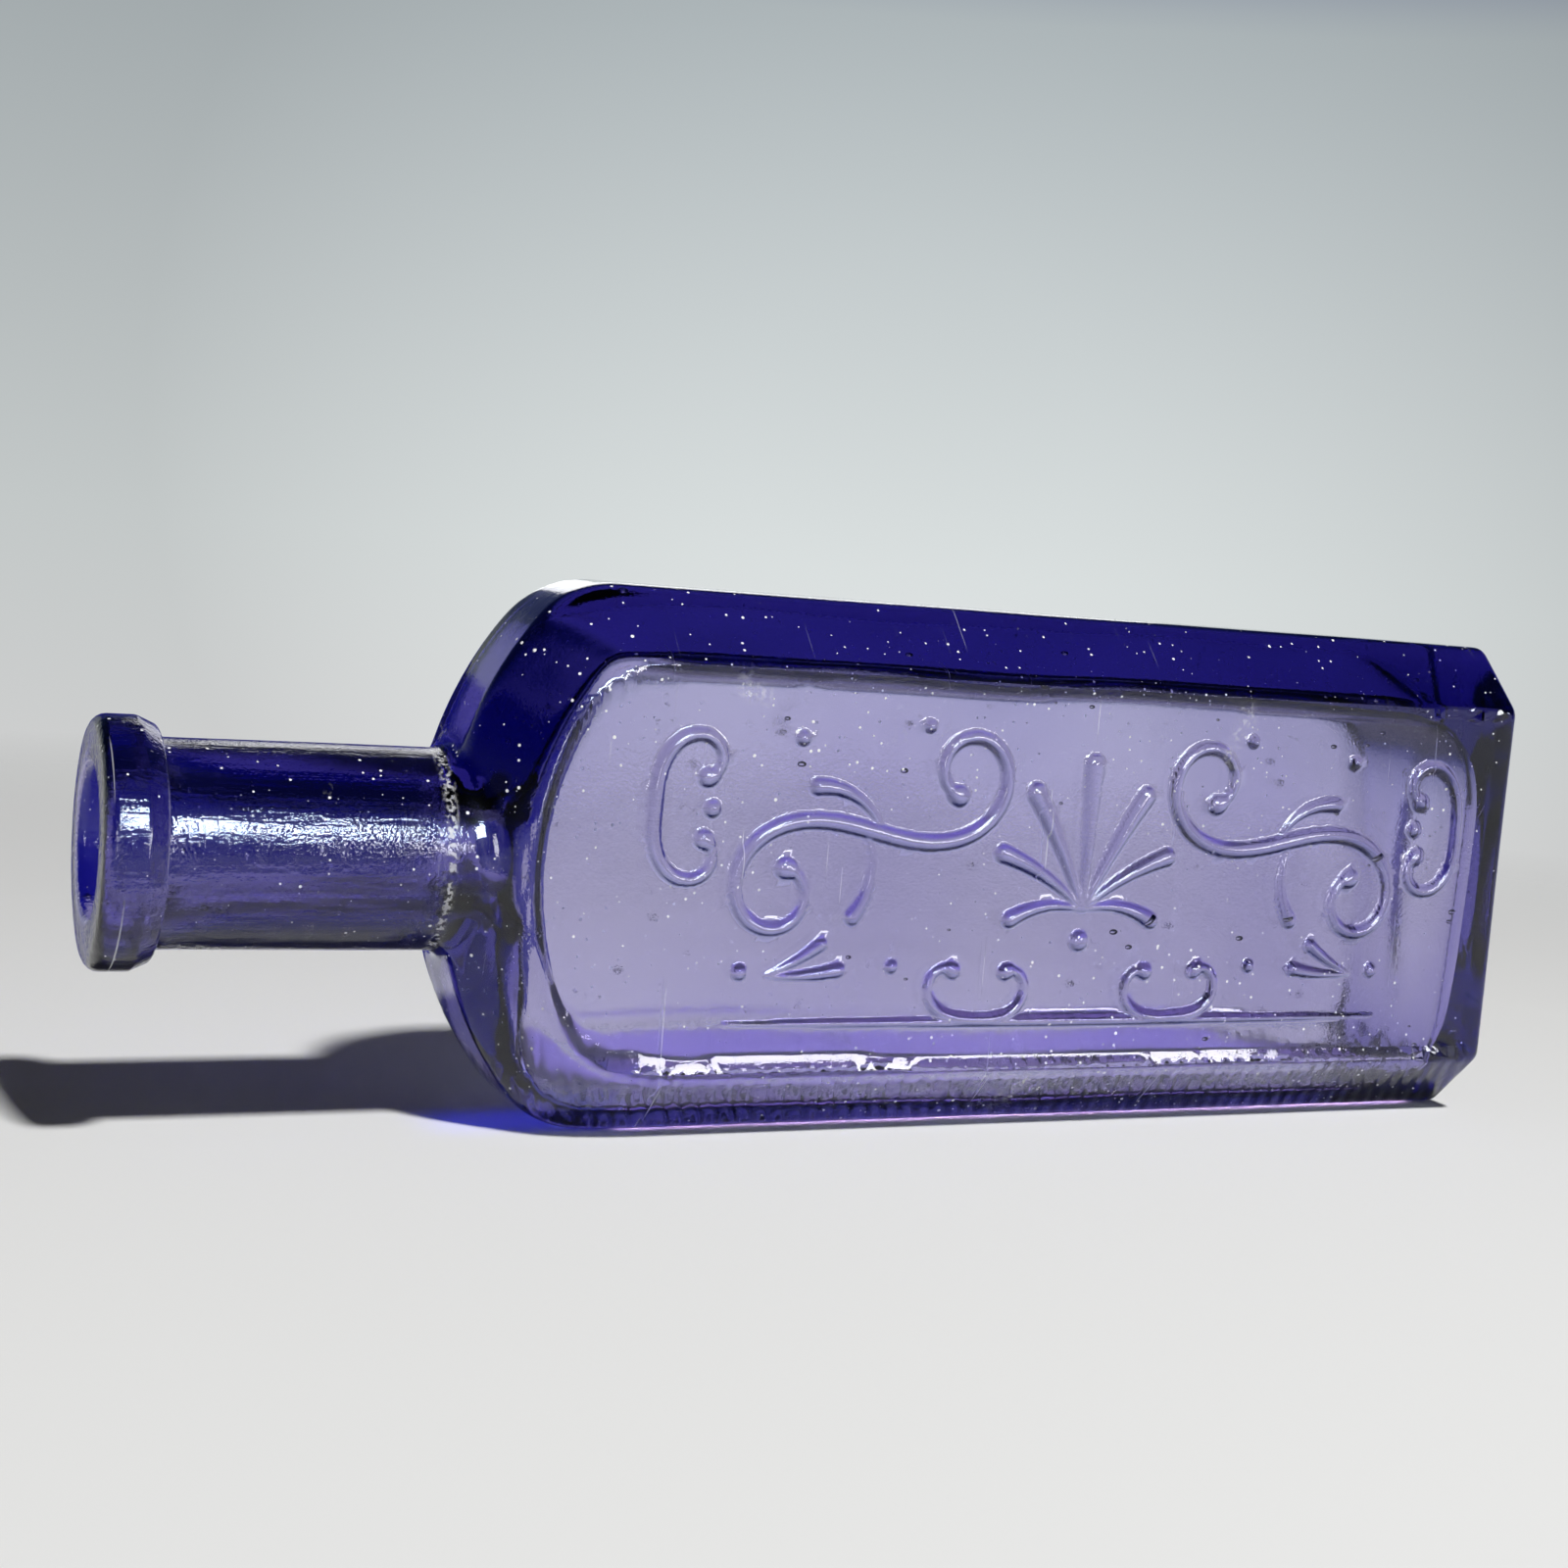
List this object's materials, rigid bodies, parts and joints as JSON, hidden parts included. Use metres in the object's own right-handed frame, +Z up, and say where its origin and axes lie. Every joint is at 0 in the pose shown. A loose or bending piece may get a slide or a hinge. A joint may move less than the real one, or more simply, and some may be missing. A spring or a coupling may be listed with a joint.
{
  "type": "oblong panelled glass bottle",
  "caption": "Oblong cobalt-blue glass bottle lying on a narrow side: flat panels, bevelled long edges, arched shoulder, round neck and banded lip; holds and pours hair tonic.",
  "frame": {"origin": "centre of the bounding box on the surface that the bottle lies on", "axes": "X along the bottle's axis, with the base towards +X and the mouth towards -X; -Y out of the front panel; +Z up, from the narrow side it lies on to the other one"},
  "size_m": [0.172, 0.027, 0.06],
  "materials": {
    "cobalt_glass": "smooth, slightly wavy mould-blown glass, violet blue where thin and navy where thick",
    "lip_glass": "tooled fire-polished glass of the same batch, a little deeper in colour where it is thick"
  },
  "bodies": {
    "root": {"bottle_body": "cobalt_glass", "applied_lip": "lip_glass"}
  },
  "joints": []
}
